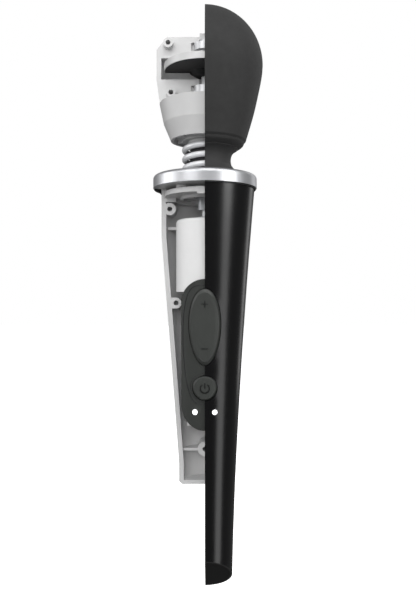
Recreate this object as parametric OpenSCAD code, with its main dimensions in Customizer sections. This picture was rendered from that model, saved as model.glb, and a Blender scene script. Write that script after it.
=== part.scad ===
// Cordless wand massager. A tapered handle holds the battery, the controls and a motor.
// A coil spring neck carries the head, where a shaft turns an eccentric weight.
// +Z runs from the grip to the head, -Y is the button side, and the origin is the grip centre.
// With cutaway on, the outer skins and front shells keep only their right half, X above 0.

/* [View] */
// Leave out the left half of the skins and front shells
cutaway = true; // [true, false]

/* [Handle] */
// Length of the handle above the grip centre
handle_above = 107.6; // [89:0.1:130]
// Length of the handle below the grip centre
handle_below = 116.5; // [97:0.1:140]
// Outer radius of the casing at its top
shoulder_r = 27.15; // [25:0.05:33]
// Outer radius of the casing at its tip
tip_r = 14.9; // [13.5:0.05:18]
// How late the taper opens out: 1 is a straight cone
taper_power = 1.55; // [1.3:0.01:1.7]
// Wall of the casing
casing_wall = 1.0; // [0.8:0.1:1.3]
// Slope of the end face
end_slope = 40.5; // [30:0.5:45]
// Thickness of the end cap
end_cap_t = 2.4; // [1.6:0.1:4]

/* [Chassis] */
// Wall of the two chassis shells
chassis_wall = 2.6; // [1.8:0.1:3]
// Gap between chassis and casing at the top
chassis_slip = 0.1; // [0.1:0.05:0.3]
// Extra gap between chassis and casing at the foot
foot_gap = 1.68; // [0.5:0.02:2.2]
// Radius of a screw hole
screw_r = 1.35; // [1:0.05:1.6]
// Radius of a chassis screw boss
boss_r = 3.4; // [3.1:0.1:3.8]

/* [Collar] */
// How far the collar stands out past the casing
collar_proud = 1.25; // [0.8:0.05:2]
// Height of the collar
collar_h = 6.9; // [6:0.1:9]
// Thickness of the collar's top plate
collar_top_t = 2.2; // [1.6:0.1:2.6]
// Thickness of the gasket under the collar
gasket_t = 0.7; // [0.5:0.1:1]

/* [Neck] */
// Outer radius of the neck spring
spring_r = 12.7; // [11.5:0.05:14]
// Wire diameter of the neck spring
wire_d = 3.2; // [2.6:0.1:3.4]
// Rise of the spring in one turn
spring_pitch = 5.2; // [4.4:0.1:6]
// Length of the spring between its two seats
spring_len = 27.9; // [26:0.1:32]
// Wall of the neck sleeve
sleeve_wall = 1.2; // [0.9:0.1:1.5]
// Distance between the two pivots of the drive shaft
pivot_gap = 12; // [10:0.5:13]

/* [Head] */
// Outer radius of the head cover
head_r = 31.7; // [31:0.1:40]
// Outer radius of the head frame
frame_r = 26.7; // [26.5:0.1:27]
// Outer radius of the eccentric weight
weight_r = 22.5; // [18:0.1:22.6]
// Thickness of the eccentric weight
weight_t = 3.7; // [2.5:0.1:5]
// Radius of the head shaft
head_shaft_r = 2.0; // [1.6:0.1:2.4]
// Outer radius of a head bearing
bearing_r = 6; // [5:0.5:7]
// Height of a head bearing
bearing_h = 4; // [3:0.5:5]

/* [Motor] */
// Outer radius of the motor can
motor_r = 14; // [12:0.1:15]
// Length of the motor with its sleeve
motor_len = 39.4; // [36:0.1:44]
// Wall of the damping sleeve round the motor
motor_sleeve_t = 1.8; // [1:0.1:1.9]
// Radius of the motor shaft
motor_shaft_r = 1.6; // [1:0.05:2]

/* [Battery] */
// Diameter of the battery cell
cell_d = 18.3; // [14.2:0.1:18.6]
// Length of the battery cell
cell_len = 65; // [50:0.5:70]

/* [Controls] */
// Half width of the keypad
keypad_half_w = 12.5; // [11:0.1:13]
// Half length of the keypad
keypad_half_l = 39.8; // [38:0.1:46]
// Height of the keypad's centre
keypad_z = 18.5; // [16:0.5:21]
// Thickness of the keypad
keypad_t = 2.4; // [2:0.1:2.8]
// Half width of the rocker
rocker_half_w = 8.2; // [6.8:0.1:9.6]
// Half length of the rocker
rocker_half_l = 19.8; // [16.5:0.1:20.5]
// Height of the rocker's centre
rocker_z = 33.3; // [32:0.1:35]
// Radius of the power button
power_r = 6.3; // [5:0.1:6.9]
// Height of the power button's centre
power_z = 1.3; // [0:0.1:3]
// Radius of a light pipe
light_r = 1.35; // [1:0.05:1.8]
// Gap round each button
button_gap = 0.4; // [0.35:0.05:0.6]

/* [Hidden] */

$fn = 96;
reach = 300;
shoulder_z = handle_above;
tip_z = -handle_below;

// Stack at the top of the handle
collar_z = shoulder_z + gasket_t;
collar_top_z = collar_z + collar_h;
collar_r = shoulder_r + collar_proud;
collar_edge_r = 2;
collar_skirt_r = shoulder_r - casing_wall;
sleeve_exit_r = 18.8;
collar_mouth_r = sleeve_exit_r + 0.4;
retainer_t = 2.2;
retainer_top_z = collar_z + retainer_t;
seat_t = 2.6;
seat_top_z = shoulder_z - 1.3;
seat_z = seat_top_z - seat_t;
seat_hole_r = 6.5;
seat_groove = 0.8;
ledge_t = 2.4;
ledge_in_r = 16;

// Motor, battery and chassis foot hang below the seat in one chain
sleeve_r = motor_r + motor_sleeve_t;
motor_top_z = seat_z - 12.6;
motor_z = motor_top_z - motor_len;
cell_r = cell_d / 2;
cell_y = 1;
cell_top_z = motor_z - 6;
cell_z = cell_top_z - cell_len;
stop_z = cell_z - 2.9;
stop_t = 1.8;
upper_boss_z = motor_top_z + 6.3;
middle_boss_z = motor_z - 6.1;
foot_boss_z = min(cell_z - 15.5, keypad_z - keypad_half_l - 13.5);
foot_boss_r = 4;
chassis_z = foot_boss_z - 19.3;
cone_foot_z = chassis_z + 11.1;
cone_top_z = shoulder_z - 25.6;
floor_t = 2.2;
rib_t = 1.6;
upper_boss_x = chassis_r(upper_boss_z) - 4.5;
middle_boss_x = chassis_r(middle_boss_z) - 5.1;
seat_screw_at = chassis_r(seat_z) - chassis_wall - 2.5;
middle_boss_r = boss_r - 0.4;
middle_pad = [20, 20, 2 * middle_boss_r];
rib_y = 5.5;
shelf_y = 2.4;
cradle_half_w = 10.8;
stop_half_w = 9.9;
screw_seat = 8;
screw_bite = 8;
screw_head_r = 2.6;
screw_head_h = 1.6;

// Neck and drive
pivot_low_z = collar_top_z - 0.2;
pivot_high_z = pivot_low_z + pivot_gap;
neck_mid_z = (pivot_low_z + pivot_high_z) / 2;
spring_mean_r = spring_r - wire_d / 2;
hub_z = seat_top_z + spring_len;
waist_r = spring_r + 0.3 + sleeve_wall;
ball_r = 3.5;
rod_r = 2.2;
pin_r = 0.85;
coupling_r = 5;
cup_gap = 0.15;
cup_rim = 2.5;

// Head, measured up from the spring's upper seat
cup_floor_z = hub_z + 3.3;
cup_floor_t = 2.2;
cup_top_z = hub_z + 20.3;
cup_foot_r = 19.7;
cup_top_r = 24.9;
cup_wall = 2.2;
frame_z = hub_z + 6;
frame_top_z = hub_z + 57.9;
weight_room_z = hub_z + 34.5;
weight_room_h = 11.7;
weight_room_r = weight_r + 1.6;
weight_z = hub_z + 38.3;
low_bearing_z = hub_z + 26.1;
high_bearing_z = hub_z + 49.8;
head_centre_z = hub_z + 41.3;
frame_screw_r = 2.7;
high_screw_x = frame_r - 6.6;
high_screw_z = hub_z + 53.5;
low_screw_x = frame_r - 8;
low_screw_z = hub_z + 27;

// Controls
board_t = 1.2;
board_half_w = 8.7;
board_z0 = keypad_z - 35.5;
board_z1 = motor_z - 1.5;
switch_h = 2.5;
plunger_h = 0.6;
press_gap = 0.5;
stem_r = 1.5;
rocker_arm = 12;
skin_depth = casing_wall + chassis_slip;
pad_depth = skin_depth + keypad_t;
flange_gap = 0.9;
flange_t = 0.8;
flange_w = 1.2;
button_root = flange_gap + flange_t;
board_front_y = casing_r(power_z) - pad_depth - button_root - switch_h - plunger_h - press_gap;
board_back_y = board_front_y - board_t;
stem_end_y = board_front_y + switch_h + plunger_h + press_gap;
rocker_proud = 0.8;
power_proud = 0.5;
light_x = 5.2;
light_z = keypad_z - 29.9;
port_x = 8;
port_z = chassis_z + 9;
port_half_w = 2.6;
port_half_l = 6;
port_y = casing_r(port_z) - 9.7;
contact_r = 1.1;
contact_y = port_y - 1;
contact_pitch = 5;

function steps(a, b, n) = [for (i = [0:n]) a + (b - a) * i / n];

// Outer radius of the casing at a height
function casing_r(z) = tip_r + (shoulder_r - tip_r)
    * pow(max(0, z - tip_z) / (shoulder_z - tip_z), taper_power);

// How far the chassis stays inside the casing, growing towards the foot
function chassis_gap(z) = casing_wall + chassis_slip
    + foot_gap * pow((cone_top_z - z) / (cone_top_z - cone_foot_z), 2);

// Outer radius of the chassis at a height
function chassis_r(z) = casing_r(min(max(z, cone_foot_z), cone_top_z))
    - chassis_gap(min(max(z, cone_foot_z), cone_top_z));

// Egg outline, widest a little above its middle
function egg(half_w, half_l) = [for (a = [0:7.5:352.5])
    [half_w * cos(a) * (1 + 0.08 * sin(a)), half_l * sin(a)]];

module revolve(points) {
    rotate_extrude() polygon(points);
}

// Flat stadium that stands upright
module stadium(half_w, half_l) {
    for (s = [-1, 1]) translate([0, s * (half_l - half_w)]) circle(r=half_w);
    square([2 * half_w, 2 * (half_l - half_w)], center=true);
}

// The casing's shape, shrunk by a depth and cut between two heights
module casing_form(depth, z0, z1) {
    wall = [for (z = steps(z0, z1, 16)) [casing_r(z) - depth, z]];
    revolve(concat([[0, z0]], wall, [[0, z1]]));
}

// The chassis's shape, shrunk by a depth
module chassis_form(depth, z0, z1) {
    levels = concat([z0], steps(cone_foot_z, cone_top_z, 10), [z1]);
    revolve(concat([[0, z0]], [for (z = levels) [chassis_r(z) - depth, z]], [[0, z1]]));
}

// Everything above the slanted end face, lifted along the face's normal
module above_end(lift) {
    translate([0, tip_r, tip_z]) rotate([-end_slope, 0, 0])
        translate([-reach, -reach, lift]) cube([2 * reach, 2 * reach, reach]);
}

module rear_half() {
    intersection() {
        children();
        translate([-reach, 0, -reach]) cube([2 * reach, reach, 2 * reach]);
    }
}

module front_half() {
    intersection() {
        children();
        translate([-reach, -reach, -reach]) cube([2 * reach, reach, 2 * reach]);
    }
}

// The part that a cutaway keeps
module shown_side() {
    if (cutaway) intersection() {
        children();
        translate([0, -reach, -reach]) cube([reach, 2 * reach, 2 * reach]);
    }
    else children();
}

// A flat shape in X and Z, pushed out towards the button side
module push_front(y0, y1) {
    rotate([90, 0, 0]) translate([0, 0, y0]) linear_extrude(y1 - y0) children();
}

// A round hole or pin along Y
module along_y(x, z, r, y0, y1) {
    translate([x, y0, z]) rotate([-90, 0, 0]) cylinder(r=r, h=y1 - y0);
}

module tube(r_out, r_in, z0, z1) {
    translate([0, 0, z0]) difference() {
        cylinder(r=r_out, h=z1 - z0);
        translate([0, 0, -1]) cylinder(r=r_in, h=z1 - z0 + 2);
    }
}

// Holes through the skin for the buttons and lights
module button_openings(gap, y0) {
    push_front(y0, 2 * shoulder_r) {
        translate([0, rocker_z]) polygon(egg(rocker_half_w + gap, rocker_half_l + gap));
        translate([0, power_z]) circle(r=power_r + gap);
    }
    for (x = [-light_x, light_x]) along_y(x, light_z, light_r + 0.1, -2 * shoulder_r, -y0);
}

// ---- Handle skins ----

module outer_casing() {
    color("#151516") shown_side() difference() {
        intersection() {
            casing_form(0, tip_z - 1, shoulder_z);
            above_end(0);
        }
        casing_form(casing_wall, tip_z - 2, shoulder_z + 0.01);
        button_openings(button_gap, 5);
        port_form(0.1);
    }
}

module end_cap() {
    plug = casing_wall + 0.1;
    color("#191919") shown_side() difference() {
        intersection() {
            casing_form(plug, tip_z - 1, shoulder_z);
            above_end(0);
        }
        intersection() {
            casing_form(plug + 1.6, tip_z - 2, shoulder_z + 1);
            above_end(end_cap_t);
        }
        above_end(end_cap_t + 5);
    }
}

// Gasket with a tapered lip inside the casing; a cutaway leaves out its front left quarter
module casing_gasket() {
    inner_r = chassis_r(shoulder_z) + 0.2;
    color("#101010") difference() {
        revolve([[inner_r, shoulder_z - 2.2], [inner_r + 0.2, shoulder_z - 2.2],
            [collar_skirt_r - 0.1, shoulder_z], [shoulder_r + 0.75, shoulder_z],
            [shoulder_r + 0.75, collar_z], [inner_r, collar_z]]);
        if (cutaway) translate([-reach, -reach, 0]) cube([reach, reach, reach]);
    }
}

// Round-edged band with a flat top plate
module collar_ring() {
    edge = [for (a = [0:15:90]) [
        collar_r - collar_edge_r + collar_edge_r * cos(a),
        collar_top_z - collar_edge_r + collar_edge_r * sin(a)]];
    color("#D4D5D8") revolve(concat(
        [[collar_skirt_r, collar_z], [collar_r, collar_z]], edge,
        [[collar_mouth_r, collar_top_z], [collar_mouth_r, collar_top_z - collar_top_t],
         [collar_skirt_r, collar_top_z - collar_top_t]]));
}

// ---- Stack under the collar ----

module at_posts(r, first=45) {
    for (a = [first:90:first + 270]) rotate([0, 0, a]) translate([r, 0, 0]) children();
}

post_r = 17.5;
thread_r = 1.2;

module neck_retainer() {
    color("#D2D2CF") difference() {
        union() {
            tube(collar_skirt_r - 0.15, waist_r + 0.4, collar_z, retainer_top_z);
            at_posts(post_r) translate([0, 0, seat_top_z]) cylinder(r=3, h=collar_z - seat_top_z + 0.5);
        }
        at_posts(post_r) translate([0, 0, seat_top_z - 1]) cylinder(r=thread_r, h=8);
        at_posts(post_r) translate([0, 0, retainer_top_z - 1]) cylinder(r=2.3, h=2);
    }
}

// Screws with their heads sunk flush in the retainer
module retainer_screws() {
    color("#B9BBBE") at_posts(post_r) {
        translate([0, 0, seat_z + 0.4]) cylinder(r=thread_r, h=retainer_top_z - seat_z - 1.4);
        translate([0, 0, retainer_top_z - 1]) difference() {
            cylinder(r=2.2, h=0.95);
            for (a = [0, 90]) rotate([0, 0, a]) translate([-1.3, -0.25, 0.5]) cube([2.6, 0.5, 1]);
        }
    }
}

module at_seat_screws() {
    for (a = [15, 165]) rotate([0, 0, a]) translate([seat_screw_at, 0, 0]) children();
}

module spring_seat() {
    seat_r = chassis_r(seat_z) - chassis_wall + seat_groove;
    color("#C9C9C6") difference() {
        union() {
            tube(seat_r, seat_hole_r, seat_z, seat_top_z);
            tube(13.6, 12, seat_z - 1.5, seat_z + 0.5);
            tube(spring_r - wire_d - 0.2, seat_hole_r, seat_top_z - 0.5, seat_top_z + 2.4);
            translate([-4, -seat_r - 0.4, seat_z - 1.2]) cube([8, 4, seat_t + 1.2]);
        }
        at_posts(post_r) translate([0, 0, seat_z - 1]) cylinder(r=thread_r, h=5);
        at_seat_screws() translate([0, 0, seat_z - 1]) cylinder(r=thread_r, h=5);
    }
}

// Two screws hold the seat on the rear ledge
module seat_screws() {
    color("#B9BBBE") at_seat_screws() {
        translate([0, 0, seat_z - ledge_t + 0.3]) cylinder(r=thread_r, h=ledge_t + seat_t);
        translate([0, 0, seat_top_z]) cylinder(r=2.2, h=1.2);
    }
}

// ---- Chassis ----

// One screw boss of the chassis, running back from the parting plane
module chassis_boss(x, z, r) {
    along_y(x, z, r, -reach / 10, reach / 10);
}

boss_spots = [
    [upper_boss_x, upper_boss_z, boss_r],
    [-upper_boss_x, upper_boss_z, boss_r],
    [middle_boss_x, middle_boss_z, middle_boss_r],
    [-middle_boss_x, middle_boss_z, middle_boss_r],
    [0, foot_boss_z, foot_boss_r]
];

// Both shells share this: wall, floor, ledge, bosses and the blocks that tie the middle bosses to the wall
module chassis_shell() {
    rim_z = collar_z;
    difference() {
        union() {
            difference() {
                chassis_body(rim_z);
                chassis_form(chassis_wall, chassis_z + floor_t, rim_z + 1);
            }
            intersection() {
                chassis_form(1, chassis_z + 1, rim_z - 1);
                union() {
                    for (b = boss_spots) chassis_boss(b[0], b[1], b[2]);
                    for (s = [-1, 1])
                        translate([s * (middle_boss_x + middle_pad[0] / 2), 0, middle_boss_z])
                            cube(middle_pad, center=true);
                }
            }
            rib_slice(seat_z - ledge_t, ledge_t, ledge_in_r, 0);
        }
        seat_clearance();
        translate([0, 0, motor_z - 0.1]) cylinder(r=sleeve_r + 0.1, h=motor_len + 0.2);
    }
}

// The outer block of the chassis with a bevelled foot
module chassis_body(rim_z) {
    foot_r = chassis_r(chassis_z);
    levels = concat(steps(cone_foot_z, cone_top_z, 10), [rim_z]);
    revolve(concat([[0, chassis_z], [foot_r - 1.6, chassis_z], [foot_r, chassis_z + 1.6]],
        [for (z = levels) [chassis_r(z), z]], [[0, rim_z]]));
}

module rib_slice(z, t, mouth_r, y) {
    inner = chassis_r(z) - 1;
    translate([0, 0, z]) difference() {
        cylinder(r=inner, h=t);
        translate([0, y, -1]) cylinder(r=mouth_r, h=t + 2);
    }
}

// Groove that the seat's rim sits in
module seat_clearance() {
    translate([0, 0, seat_z]) cylinder(r=chassis_r(seat_z) - chassis_wall + seat_groove + 0.1, h=seat_t);
    at_seat_screws() translate([0, 0, seat_z - ledge_t - 1]) cylinder(r=thread_r, h=ledge_t + 2);
}

// What lies further back than a given Y
module behind(y) {
    intersection() {
        children();
        translate([-reach, y, -reach]) cube([2 * reach, reach, 2 * reach]);
    }
}

// What lies within a given half width
module between(half_w) {
    intersection() {
        union() children();
        translate([-half_w, -reach, -reach]) cube([2 * half_w, 2 * reach, 2 * reach]);
    }
}

module rear_chassis() {
    color("#CFCFCC") rear_half() difference() {
        union() {
            chassis_shell();
            behind(rib_y) rib_slice(motor_top_z - 4.7, rib_t, sleeve_r + 0.1, 0);
            behind(shelf_y) rib_slice(foot_boss_z - 1.4, 1.4, 0.5, 20);
            between(cradle_half_w) {
                rib_slice(motor_z - rib_t - 0.1, rib_t, 8, 0);
                for (z = [cell_top_z - 9, cell_z + 9]) rib_slice(z, rib_t, cell_r + 0.1, cell_y);
            }
            between(stop_half_w) rib_slice(stop_z, stop_t, 4.5, cell_y);
        }
        for (b = boss_spots) along_y(b[0], b[1], screw_r, -1, screw_bite + 1);
        port_form(0.1);
    }
}

module front_chassis() {
    color("#CFCFCC") shown_side() front_half() difference() {
        union() {
            chassis_shell();
            rib_slice(motor_top_z - 4.7, rib_t, sleeve_r + 0.1, 0);
        }
        for (b = boss_spots) {
            along_y(b[0], b[1], screw_r + 0.2, -reach / 10, 1);
            along_y(b[0], b[1], screw_head_r + 0.3, -reach / 10, -screw_seat);
        }
        push_front(3, 2 * shoulder_r) translate([0, keypad_z])
            stadium(keypad_half_w + 0.15, keypad_half_l + 0.15);
        translate([-4.1, -reach / 10, seat_z - 1.3]) cube([8.2, 16, seat_t + 1.4]);
    }
}

// Cross-recessed pan head screw along Y, its head towards the button side
module pan_screw(x, z, head_y, bite, head_r, head_h, shank_r) {
    difference() {
        union() {
            along_y(x, z, shank_r, head_y, bite);
            along_y(x, z, head_r, head_y - head_h, head_y);
        }
        for (a = [0, 90]) translate([x, head_y - head_h, z]) rotate([0, a, 0])
            translate([-head_r * 0.6, -1, -0.3]) cube([head_r * 1.2, 1.8, 0.6]);
    }
}

module chassis_screws() {
    kept = [for (b = boss_spots) if (!cutaway || b[0] > 0) b];
    color("#B9BBBE") for (b = kept)
        pan_screw(b[0], b[1], -screw_seat, screw_bite, screw_head_r, screw_head_h, screw_r);
}

// ---- Motor ----

module motor_sleeve() {
    edge_r = 1.8;
    edge = [for (a = [0:22.5:90]) [
        sleeve_r - edge_r + edge_r * cos(a), motor_top_z - edge_r + edge_r * sin(a)]];
    color("#E2E2E0") revolve(concat(
        [[motor_r, motor_z], [sleeve_r, motor_z]], edge,
        [[6.2, motor_top_z], [6.2, motor_top_z - 1.5], [motor_r, motor_top_z - 1.5]]));
}

can_top_z = motor_top_z - 1.5;
can_z = motor_z + 2.4;
can_wall = 1.2;

module motor_can() {
    color("#B4B6B8") difference() {
        translate([0, 0, can_z]) cylinder(r=motor_r, h=can_top_z - can_z);
        translate([0, 0, can_z - 1]) cylinder(r=motor_r - can_wall, h=can_top_z - can_z - 0.6);
        translate([0, 0, can_top_z - 3]) cylinder(r=3, h=4);
    }
}

module motor_bush() {
    color("#A6A8AC") tube(3, motor_shaft_r + 0.04, can_top_z - 3, can_top_z + 3.4);
}

module motor_end_bell() {
    color("#2A2A2C") difference() {
        union() {
            translate([0, 0, motor_z]) cylinder(r=motor_r, h=2.4);
            translate([0, 0, motor_z + 1]) cylinder(r=motor_r - can_wall, h=3.4);
        }
        translate([0, 0, motor_z + 0.8]) cylinder(r=motor_shaft_r + 0.04, h=6);
        for (x = [-7, 7]) translate([x - 0.5, -1.6, motor_z - 1]) cube([1, 3.2, 8]);
    }
}

module motor_terminals() {
    color("#C9A24C") for (x = [-7, 7]) translate([x - 0.4, -1.5, motor_z - 3]) difference() {
        cube([0.8, 3, 7]);
        translate([-1, 1.5, 1.2]) rotate([0, 90, 0]) cylinder(r=0.6, h=3);
    }
}

// Two arc magnets on the inside of the can
module motor_magnets() {
    outer = motor_r - can_wall - 0.05;
    color("#3C3C40") difference() {
        tube(outer, outer - 2.4, can_z + 7, can_top_z - 6);
        translate([-reach / 10, -2.5, can_z]) cube([reach / 5, 5, motor_len]);
    }
}

module motor_shaft() {
    color("#C6C8CA") translate([0, 0, motor_z + 1]) cylinder(r=motor_shaft_r, h=motor_top_z + 12 - motor_z);
}

// Slotted rotor and commutator
module motor_armature() {
    core_r = motor_r - can_wall - 3.2;
    color("#8A5A36") difference() {
        union() {
            translate([0, 0, can_z + 8]) cylinder(r=core_r, h=can_top_z - can_z - 15);
            translate([0, 0, can_z + 3]) cylinder(r=4, h=5.5);
        }
        translate([0, 0, can_z]) cylinder(r=motor_shaft_r, h=motor_len);
        for (a = [0:120:240]) rotate([0, 0, a]) translate([core_r - 4, -0.9, can_z + 7.9])
            cube([6, 1.8, motor_len]);
    }
}

// ---- Drive line: two slotted cups and a dog-bone shaft with a ball and pin at each pivot ----

// Cup below a pivot: bored for the ball and slotted for the pin
module ball_cup(length, bore_r, neck_r, neck_l) {
    difference() {
        union() {
            translate([0, 0, -length]) cylinder(r=neck_r, h=neck_l + 0.5);
            translate([0, 0, neck_l - length]) cylinder(r=coupling_r, h=length + cup_rim - neck_l);
        }
        translate([0, 0, -ball_r - 0.4]) cylinder(r=ball_r + cup_gap, h=ball_r + cup_rim + 2);
        translate([0, 0, -length - 1]) cylinder(r=bore_r, h=length - ball_r - 1);
        translate([-coupling_r - 1, -pin_r - 0.1, -2.2]) cube([2 * coupling_r + 2, 2 * pin_r + 0.2, 8]);
    }
}

module motor_coupling() {
    color("#5A5C60") translate([0, 0, pivot_low_z])
        ball_cup(pivot_low_z - motor_top_z - 5.4, motor_shaft_r, 4, 6);
}

module head_coupling() {
    color("#5A5C60") translate([0, 0, pivot_high_z]) mirror([0, 0, 1])
        ball_cup(hub_z + 5.6 - pivot_high_z, head_shaft_r, 4.4, 4);
}

module drive_shaft() {
    color("#8C8F94") union() {
        translate([0, 0, pivot_low_z]) cylinder(r=rod_r, h=pivot_gap);
        for (z = [pivot_low_z, pivot_high_z]) {
            translate([0, 0, z]) sphere(r=ball_r);
            translate([-4.6, 0, z]) rotate([0, 90, 0]) cylinder(r=pin_r, h=9.2);
        }
    }
}

// Bellows round the drive shaft, with round folds
module drive_boot() {
    folds = 5;
    z0 = pivot_low_z - 0.6;
    z1 = pivot_high_z + 0.6;
    fold = (z1 - z0) / folds;
    outer = [for (i = [0:folds * 6]) [7.1 - 0.5 * cos(60 * i), z0 + fold * i / 6]];
    inner = [for (i = [folds * 6:-6:0]) [5.9, z0 + fold * i / 6]];
    color("#1B1B1C") revolve(concat(outer, inner));
}

// ---- Neck spring and sleeve, each made of two halves that meet halfway between the pivots ----

// Tube along a list of points, with rings square to the path
function unit(v) = v / norm(v);
function step(path, i) = unit(path[i + 1] - path[i]);
function heading(path, i) = let (last = len(path) - 1)
    i == 0 ? unit(2 * step(path, 0) - unit(path[2] - path[0]))
    : i == last ? unit(2 * step(path, last - 1) - unit(path[last] - path[last - 2]))
    : unit(path[i + 1] - path[i - 1]);
function ring(path, i, r, sides) =
    let (t = heading(path, i), side = unit(cross(t, [0.13, 0.31, 0.94])), up = cross(side, t))
    [for (k = [0:sides - 1]) path[i] + r * (cos(360 * k / sides) * side + sin(360 * k / sides) * up)];

module sweep(path, r, sides) {
    last = len(path) - 1;
    points = [for (i = [0:last]) each ring(path, i, r, sides)];
    walls = [for (i = [0:last - 1]) for (k = [0:sides - 1]) let (n = (k + 1) % sides)
        each [
            [i * sides + k, i * sides + n, (i + 1) * sides + k],
            [(i + 1) * sides + k, i * sides + n, (i + 1) * sides + n]]];
    start = [[for (k = [sides - 1:-1:0]) k]];
    end = [[for (k = [0:sides - 1]) last * sides + k]];
    polyhedron(points, concat(start, walls, end));
}

// Right-handed coil between two heights; its ends lie a quarter wire over the seats
function coil(z0, z1) =
    let (turns = (z1 - z0) / spring_pitch, count = ceil(turns * 20))
    [for (i = [0:count]) let (z = z0 + (z1 - z0) * i / count, a = 360 * (z - coil_turn_z) / spring_pitch)
        [spring_mean_r * cos(a), spring_mean_r * sin(a), z]];

coil_low_z = seat_top_z + wire_d / 2 + 0.1;
coil_top_z = hub_z - wire_d / 2 - 0.1;
coil_turn_z = seat_top_z - 0.25;

module neck_spring_lower() {
    color("#C8CACC") sweep(coil(coil_low_z, neck_mid_z), wire_d / 2, 10);
}

module neck_spring_upper() {
    color("#C8CACC") sweep(coil(neck_mid_z + 0.004, coil_top_z), wire_d / 2, 10);
}

// Outline of the sleeve: radius added to the waist, at a height between collar and head
sleeve_low = [[sleeve_exit_r, collar_top_z - collar_top_t], [sleeve_exit_r - 0.3, collar_top_z],
    [waist_r + 2.1, collar_top_z + 3], [waist_r + 0.8, collar_top_z + 4.8]];
sleeve_high = [[waist_r + 0.1, neck_mid_z + 2.9], [waist_r + 0.9, neck_mid_z + 5.9],
    [waist_r + 2.1, neck_mid_z + 7.7], [waist_r + 3.8, neck_mid_z + 9.1]];

module neck_sleeve_lower() {
    flange_r = collar_skirt_r - 0.3;
    plate_z = collar_top_z - collar_top_t;
    color("#3A3A3A") shown_side() revolve(concat(
        [[waist_r - sleeve_wall + 0.4, retainer_top_z], [flange_r, retainer_top_z], [flange_r, plate_z]],
        sleeve_low, [[waist_r, neck_mid_z], [waist_r - sleeve_wall, neck_mid_z]]));
}

module neck_sleeve_upper() {
    top_r = waist_r + 3.6;
    color("#3A3A3A") shown_side() revolve(concat(
        [[waist_r - sleeve_wall, neck_mid_z], [waist_r, neck_mid_z]],
        sleeve_high, [[top_r, neck_mid_z + 9.3], [top_r, hub_z - 0.1], [waist_r + 0.6, hub_z - 0.1]]));
}

// ---- Keypad and electronics ----

// The slice of the casing's shape between two depths, over the controls
module skin_slice(depth0, depth1) {
    z0 = keypad_z - keypad_half_l - 3;
    z1 = keypad_z + keypad_half_l + 3;
    difference() {
        casing_form(depth0, z0, z1);
        casing_form(depth1, z0 - 1, z1 + 1);
    }
}

board_posts = [[-7, rocker_z - rocker_half_l - 4], [7, rocker_z - rocker_half_l - 4], [0, board_z0 + 2.4]];

module keypad_bezel() {
    color("#3A3C3A") difference() {
        union() {
            intersection() {
                skin_slice(skin_depth, pad_depth);
                push_front(0, 2 * shoulder_r) translate([0, keypad_z])
                    stadium(keypad_half_w, keypad_half_l);
            }
            for (p = board_posts) intersection() {
                along_y(p[0], p[1], 1.9, -2 * shoulder_r, -board_front_y);
                casing_form(skin_depth + 0.5, keypad_z - keypad_half_l, keypad_z + keypad_half_l);
            }
        }
        button_openings(button_gap, board_front_y);
        for (p = board_posts) along_y(p[0], p[1], 0.8, -board_front_y - 3, 0);
    }
}

module rocker_button() {
    color("#3D3F3D") union() {
        intersection() {
            skin_slice(-rocker_proud, pad_depth + button_root);
            push_front(0, 2 * shoulder_r) translate([0, rocker_z])
                polygon(egg(rocker_half_w - 1, rocker_half_l - 1.6));
        }
        intersection() {
            skin_slice(-0.2, pad_depth + button_root);
            push_front(0, 2 * shoulder_r) translate([0, rocker_z])
                polygon(egg(rocker_half_w, rocker_half_l));
        }
        button_flange() translate([0, rocker_z])
            polygon(egg(rocker_half_w + flange_w, rocker_half_l + flange_w));
        for (s = [-1, 1]) button_stem(rocker_z + s * rocker_arm);
    }
}

// Flange behind the keypad that keeps a button in, with room for its travel
module button_flange() {
    intersection() {
        skin_slice(pad_depth + flange_gap, pad_depth + button_root);
        push_front(0, 2 * shoulder_r) children();
    }
}

// Stem from the back of a button towards its switch
module button_stem(z) {
    along_y(0, z, stem_r, -casing_r(z) + pad_depth - 1, -stem_end_y);
}

module power_button() {
    color("#3D3F3D") union() {
        intersection() {
            skin_slice(-power_proud, pad_depth + button_root);
            push_front(0, 2 * shoulder_r) translate([0, power_z]) circle(r=power_r);
        }
        button_flange() translate([0, power_z]) circle(r=power_r + flange_w);
        button_stem(power_z);
    }
}

module light_pipes() {
    color("#F4F4F4") intersection() {
        union() for (x = [-light_x, light_x])
            along_y(x, light_z, light_r, -2 * shoulder_r, -board_front_y - 1);
        casing_form(0.02, light_z - 4, light_z + 5);
    }
}

module control_board() {
    color("#1F5A3C") difference() {
        translate([-board_half_w, -board_front_y, board_z0])
            cube([2 * board_half_w, board_t, board_z1 - board_z0]);
        for (p = board_posts) along_y(p[0], p[1], 0.95, -2 * board_front_y, 0);
    }
}

module board_screws() {
    color("#B9BBBE") for (p = board_posts) {
        along_y(p[0], p[1], 0.8, -board_front_y - 2.6, -board_front_y + board_t);
        along_y(p[0], p[1], 1.5, -board_front_y + board_t, -board_front_y + board_t + 0.7);
    }
}

module tact_switches() {
    color("#26282B") for (z = [rocker_z - rocker_arm, rocker_z + rocker_arm, power_z]) {
        translate([-3, -board_front_y - switch_h, z - 3]) cube([6, switch_h, 6]);
        along_y(0, z, 1.6, -board_front_y - switch_h - plunger_h, -board_front_y - switch_h);
    }
}

// Controller chip, charge chip, coil and the two light sources
module board_parts() {
    color("#1C1C1E") {
        translate([-2.5, -board_front_y - 0.9, rocker_z - 2.5]) cube([5, 0.9, 5]);
        translate([-6.5, -board_front_y - 0.8, rocker_z - 15]) cube([3, 0.8, 4]);
        translate([4, -board_front_y - 1.5, board_z1 - 8]) cube([4, 1.5, 4]);
        for (x = [-light_x, light_x]) translate([x - 1, -board_front_y - 1, light_z - 1]) cube([2, 1, 2]);
    }
}

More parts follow.
